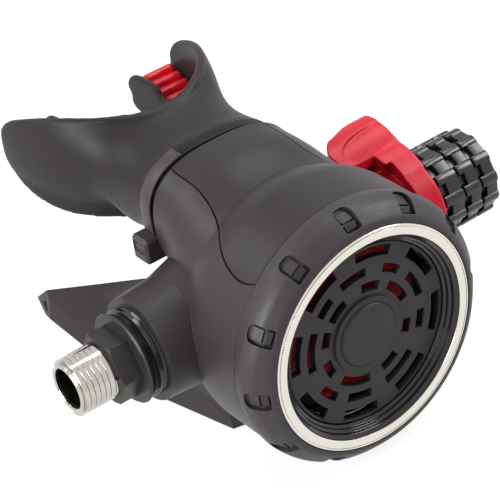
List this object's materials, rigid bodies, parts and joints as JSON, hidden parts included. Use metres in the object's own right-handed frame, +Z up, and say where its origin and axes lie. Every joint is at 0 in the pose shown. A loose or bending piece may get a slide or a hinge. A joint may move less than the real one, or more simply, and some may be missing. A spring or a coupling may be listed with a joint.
{
  "type": "scuba regulator second stage",
  "caption": "Diving regulator second stage: round purge cover, hose inlet, air-flow lever, adjusting knob, exhaust tee and mouthpiece with bite pads.",
  "frame": {"origin": "centre of the hose inlet's mouth, on the valve axis", "axes": "+X along the valve axis from the inlet to the knob, +Y from the purge cover to the mouthpiece, +Z up, away from the exhaust tee"},
  "size_m": [0.1262, 0.1148, 0.0707],
  "materials": {
    "shell_plastic": "moulded glass-filled nylon, fine satin grain",
    "panel_plastic": "moulded nylon, slightly smoother than the shell",
    "gloss_black": "glossy black moulding",
    "grille_plastic": "moulded black grille, satin",
    "anodised_black": "black anodised turned aluminium",
    "chrome": "bright chrome over brass",
    "trim_steel": "polished stainless steel ring, fine lathe lines",
    "barrel_brass": "chrome-flashed brass",
    "spring_steel": "drawn stainless wire",
    "seal_rubber": "black O-ring rubber",
    "silicone": "black silicone, soft sheen",
    "membrane_silicone": "thin black silicone",
    "lever_red": "red acetal moulding, satin",
    "pad_red": "red silicone, soft sheen",
    "plate_red": "red acetal disc",
    "tie_nylon": "black nylon strap"
  },
  "bodies": {
    "case": {"housing": "shell_plastic", "top_panel": "panel_plastic", "inlet_fitting": "chrome", "inlet_nut": "anodised_black", "inlet_seal": "gloss_black", "valve_barrel": "barrel_brass", "orifice": "barrel_brass", "orifice_ring": "seal_rubber", "packing_nut": "barrel_brass", "packing_ring": "seal_rubber", "poppet_spring": "spring_steel", "purge_spring": "spring_steel", "bezel_ring": "shell_plastic", "trim_ring": "trim_steel", "cover_surround": "gloss_black", "diaphragm": "membrane_silicone", "friction_washer": "panel_plastic", "exhaust_valve": "membrane_silicone", "exhaust_tee": "shell_plastic", "mouthpiece": "silicone", "bite_pad_left": "pad_red", "bite_pad_right": "pad_red", "tie_strap": "tie_nylon", "tie_head": "tie_nylon"},
    "purge": {"purge_cover": "grille_plastic", "purge_pad": "grille_plastic"},
    "plate": {"diaphragm_plate": "plate_red", "diaphragm_button": "spring_steel"},
    "lever": {"demand_lever": "spring_steel"},
    "valve": {"poppet": "barrel_brass", "poppet_seat": "seal_rubber"},
    "airflow": {"venturi_sleeve": "lever_red", "venturi_lever": "lever_red"},
    "knob": {"adjusting_knob": "anodised_black", "drive_key": "barrel_brass"},
    "screw": {"adjusting_screw": "barrel_brass", "screw_ring": "seal_rubber"}
  },
  "joints": [
    {"name": "purge_press", "type": "slide", "parent": "case", "child": "purge", "axis": [0, 1, 0], "range_m": [0, 0.003], "stiffness_N_per_m": 900, "springref_m": -0.0008, "deforming": ["purge_spring", "diaphragm"]},
    {"name": "plate_press", "type": "slide", "parent": "case", "child": "plate", "axis": [0, 1, 0], "range_m": [0, 0.003]},
    {"name": "lever_swing", "type": "hinge", "parent": "case", "child": "lever", "pos_m": [0.0758, -0.0086, 0], "axis": [0, 0, -1], "range_deg": [0, 12.2]},
    {"name": "poppet_lift", "type": "slide", "parent": "case", "child": "valve", "axis": [1, 0, 0], "range_m": [0, 0.00105], "deforming": ["poppet_spring"]},
    {"name": "airflow_turn", "type": "hinge", "parent": "case", "child": "airflow", "pos_m": [0.1017, 0, 0], "axis": [1, 0, 0], "range_deg": [0, 34]},
    {"name": "knob_turn", "type": "hinge", "parent": "case", "child": "knob", "pos_m": [0.1167, 0, 0], "axis": [1, 0, 0], "range_deg": [-540, 540]},
    {"name": "screw_travel", "type": "slide", "parent": "knob", "child": "screw", "axis": [1, 0, 0], "range_m": [-0.0015, 0.0015], "deforming": ["poppet_spring"]}
  ],
  "couplings": [
    {"joint": "plate_press", "follows": "purge_press", "ratio": 1},
    {"joint": "lever_swing", "follows": "purge_press", "rad_per_m": 70.97},
    {"joint": "poppet_lift", "follows": "purge_press", "ratio": 0.34997},
    {"joint": "screw_travel", "follows": "knob_turn", "m_per_rad": 0.00015914}
  ]
}
